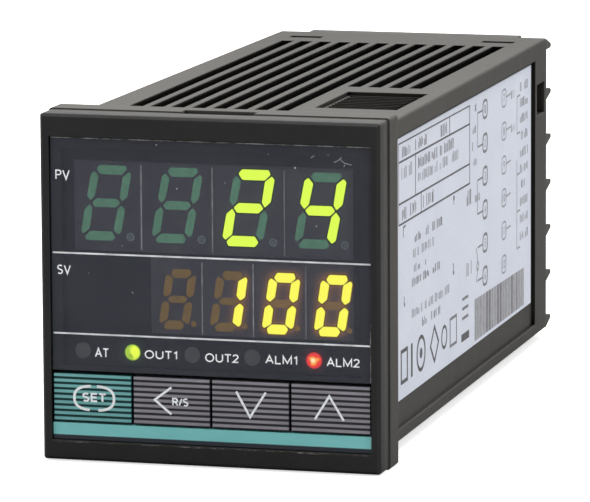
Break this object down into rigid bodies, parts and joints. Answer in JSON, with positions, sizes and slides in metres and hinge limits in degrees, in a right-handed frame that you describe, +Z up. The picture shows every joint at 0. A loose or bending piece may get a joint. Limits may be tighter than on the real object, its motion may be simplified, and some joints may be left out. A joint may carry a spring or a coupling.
{
  "type": "pid temperature controller",
  "caption": "Panel-mounting process temperature controller: square front with two digit rows, lamps and keys, deep vented body, screw terminals at the rear.",
  "frame": {"origin": "middle of the flange's rear face, where it seats on the front of a panel", "axes": "+X to the right seen from the front, +Y to the rear through the panel, +Z up"},
  "size_m": [0.048, 0.1133, 0.048],
  "materials": {
    "housing": "fine matt moulded texture, charcoal",
    "terminal_moulding": "matt black",
    "label_film": "satin white film with dark print",
    "zinc_screw": "zinc plated",
    "brass_contact": "tinned brass",
    "socket_moulding": "black",
    "smoked_window": "clear smoked, glossy",
    "teal_strip": "printed teal band on a dark film",
    "key_cap": "dark, ribbed, printed lines",
    "display_module": "dark grey face",
    "dark_surround": "black, slightly blue behind the window",
    "lamp_lens": "diffused lens",
    "circuit_board": "green solder mask",
    "switch_body": "black with a steel cover",
    "spacer_moulding": "natural nylon",
    "insulation_paper": "pale insulation sheet",
    "capacitor_sleeve": "shrink sleeve, bare aluminium top",
    "ferrite": "dull grey ferrite",
    "winding_tape": "yellow tape",
    "bobbin_moulding": "black",
    "relay_cover": "blue",
    "varistor_coat": "blue dipped coat",
    "film_cap_case": "yellow box",
    "resistor_coat": "grey-green coat with bands",
    "chip_epoxy": "black epoxy",
    "crystal_can": "pressed steel can"
  },
  "bodies": {
    "case": {"rear_case": "housing", "rating_label": "label_film", "terminal_block": "terminal_moulding", "terminal_screws": "zinc_screw", "clamp_washers": "zinc_screw", "terminal_plates": "brass_contact", "contact_socket_right": "socket_moulding", "contact_socket_left": "socket_moulding"},
    "chassis": {"front_bezel": "housing", "front_window": "smoked_window", "nameplate_strip": "teal_strip", "pv_display": "display_module", "sv_display": "display_module", "indicator_leds": "lamp_lens", "led_holder": "dark_surround", "display_frame": "dark_surround", "display_board": "circuit_board", "tact_switches": "switch_body", "display_header_left": "socket_moulding", "display_header_right": "socket_moulding", "control_board": "circuit_board", "power_board": "circuit_board", "rear_spacer": "spacer_moulding", "insulation_sheet": "insulation_paper", "input_capacitor": "capacitor_sleeve", "filter_capacitors": "capacitor_sleeve", "transformer_core": "ferrite", "transformer_winding": "winding_tape", "transformer_bobbin": "bobbin_moulding", "output_relay": "relay_cover", "alarm_relay_one": "relay_cover", "alarm_relay_two": "relay_cover", "varistor": "varistor_coat", "film_capacitor": "film_cap_case", "fuse_resistor": "resistor_coat", "bridge_rectifier": "chip_epoxy", "microcontroller": "chip_epoxy", "memory_chip": "chip_epoxy", "optocouplers": "chip_epoxy", "crystal": "crystal_can", "signal_capacitors": "capacitor_sleeve", "amplifier_chip": "chip_epoxy"},
    "key_set": {"key_set": "key_cap"},
    "key_shift": {"key_shift": "key_cap"},
    "key_down": {"key_down": "key_cap"},
    "key_up": {"key_up": "key_cap"}
  },
  "joints": [
    {"name": "chassis_slide", "type": "slide", "parent": "case", "child": "chassis", "axis": [0, -1, 0], "range_m": [0, 0.09]},
    {"name": "key_set_press", "type": "slide", "parent": "chassis", "child": "key_set", "axis": [0, 1, 0], "range_m": [0, 0.00035], "stiffness_N_per_m": 3000, "springref_m": -0.0002},
    {"name": "key_shift_press", "type": "slide", "parent": "chassis", "child": "key_shift", "axis": [0, 1, 0], "range_m": [0, 0.00035], "stiffness_N_per_m": 3000, "springref_m": -0.0002},
    {"name": "key_down_press", "type": "slide", "parent": "chassis", "child": "key_down", "axis": [0, 1, 0], "range_m": [0, 0.00035], "stiffness_N_per_m": 3000, "springref_m": -0.0002},
    {"name": "key_up_press", "type": "slide", "parent": "chassis", "child": "key_up", "axis": [0, 1, 0], "range_m": [0, 0.00035], "stiffness_N_per_m": 3000, "springref_m": -0.0002}
  ]
}
